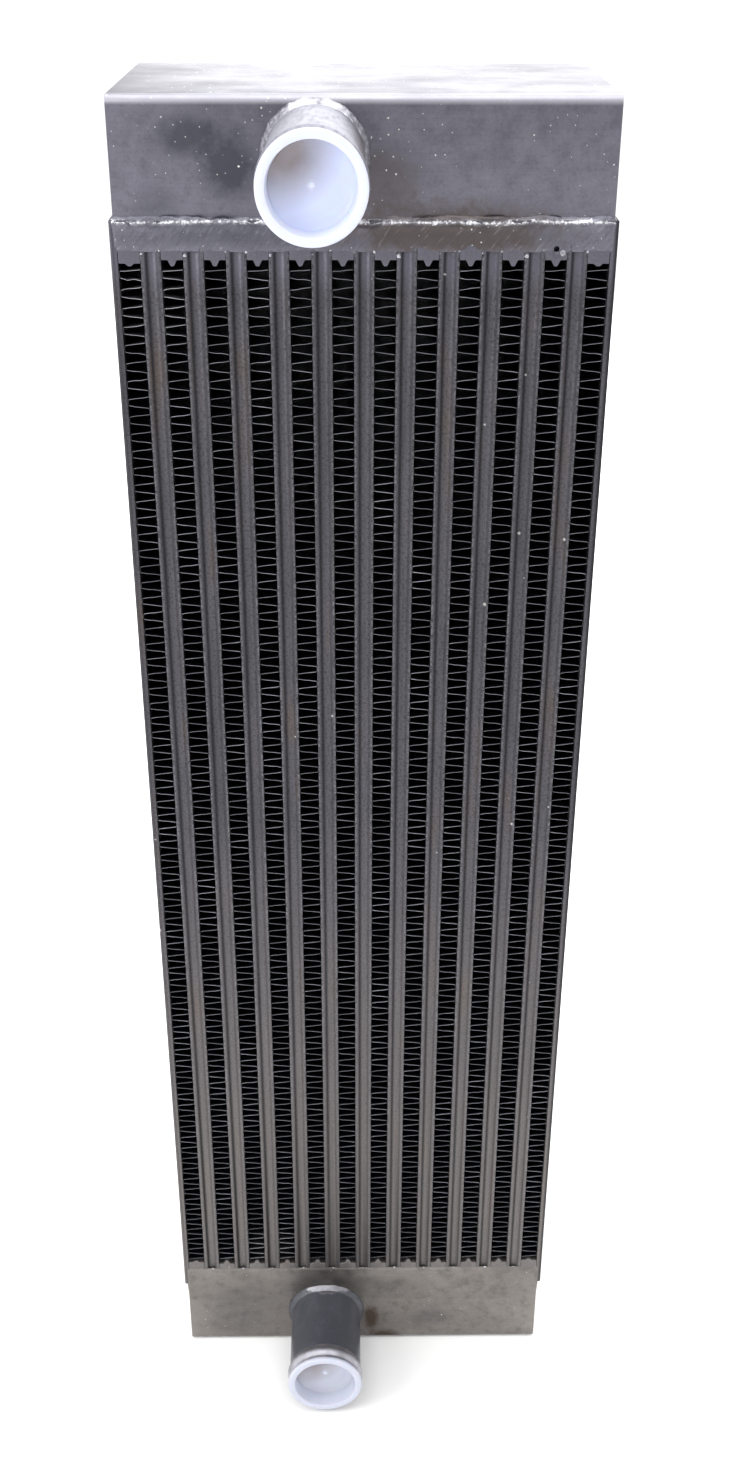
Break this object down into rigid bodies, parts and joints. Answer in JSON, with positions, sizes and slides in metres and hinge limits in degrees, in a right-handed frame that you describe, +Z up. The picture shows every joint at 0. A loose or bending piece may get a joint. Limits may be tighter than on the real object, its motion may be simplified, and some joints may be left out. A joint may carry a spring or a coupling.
{
  "type": "hydraulic oil cooler",
  "caption": "Bar-and-plate aluminium hydraulic oil cooler: finned core between two welded tanks, a beaded hose stub in each tank's front and a pull-out transit plug in each stub.",
  "frame": {"origin": "centre of the bottom tank's underside", "axes": "+Z up, along the oil channels; -Y is the front, where both pipes leave; +X to the right seen from the front"},
  "size_m": [0.249, 0.2362, 0.836],
  "materials": {
    "core_aluminium": "mill-finish parting sheets and bars, dulled by the brazing furnace",
    "fin_aluminium": "thin rolled fin sheet, shadowed, with bright cut edges",
    "tank_aluminium": "brushed mill sheet with handling marks",
    "pipe_aluminium": "bright turned tube, part of the lower one painted satin black",
    "plug_plastic": "translucent milky polyethylene, moulded"
  },
  "bodies": {
    "cooler": {"oil_channel_1": "core_aluminium", "oil_channel_2": "core_aluminium", "oil_channel_3": "core_aluminium", "oil_channel_4": "core_aluminium", "oil_channel_5": "core_aluminium", "oil_channel_6": "core_aluminium", "oil_channel_7": "core_aluminium", "oil_channel_8": "core_aluminium", "oil_channel_9": "core_aluminium", "oil_channel_10": "core_aluminium", "oil_channel_11": "core_aluminium", "top_end_bar_1": "core_aluminium", "top_end_bar_2": "core_aluminium", "top_end_bar_3": "core_aluminium", "top_end_bar_4": "core_aluminium", "top_end_bar_5": "core_aluminium", "top_end_bar_6": "core_aluminium", "top_end_bar_7": "core_aluminium", "top_end_bar_8": "core_aluminium", "top_end_bar_9": "core_aluminium", "top_end_bar_10": "core_aluminium", "top_end_bar_11": "core_aluminium", "top_end_bar_12": "core_aluminium", "bottom_end_bar_1": "core_aluminium", "bottom_end_bar_2": "core_aluminium", "bottom_end_bar_3": "core_aluminium", "bottom_end_bar_4": "core_aluminium", "bottom_end_bar_5": "core_aluminium", "bottom_end_bar_6": "core_aluminium", "bottom_end_bar_7": "core_aluminium", "bottom_end_bar_8": "core_aluminium", "bottom_end_bar_9": "core_aluminium", "bottom_end_bar_10": "core_aluminium", "bottom_end_bar_11": "core_aluminium", "bottom_end_bar_12": "core_aluminium", "air_fin_1": "fin_aluminium", "air_fin_2": "fin_aluminium", "air_fin_3": "fin_aluminium", "air_fin_4": "fin_aluminium", "air_fin_5": "fin_aluminium", "air_fin_6": "fin_aluminium", "air_fin_7": "fin_aluminium", "air_fin_8": "fin_aluminium", "air_fin_9": "fin_aluminium", "air_fin_10": "fin_aluminium", "air_fin_11": "fin_aluminium", "air_fin_12": "fin_aluminium", "left_side_plate": "core_aluminium", "right_side_plate": "core_aluminium", "top_tank_sheet": "tank_aluminium", "top_tank_left_end": "tank_aluminium", "top_tank_right_end": "tank_aluminium", "bottom_tank_sheet": "tank_aluminium", "bottom_tank_left_end": "tank_aluminium", "bottom_tank_right_end": "tank_aluminium", "inlet_pipe": "pipe_aluminium", "outlet_pipe": "pipe_aluminium"},
    "inlet_plug": {"inlet_plug": "plug_plastic"},
    "outlet_plug": {"outlet_plug": "plug_plastic"}
  },
  "joints": [
    {"name": "inlet_plug_pull", "type": "slide", "parent": "cooler", "child": "inlet_plug", "axis": [0, -1, 0], "range_m": [0, 0.03]},
    {"name": "outlet_plug_pull", "type": "slide", "parent": "cooler", "child": "outlet_plug", "axis": [0, -1, 0], "range_m": [0, 0.03]}
  ]
}
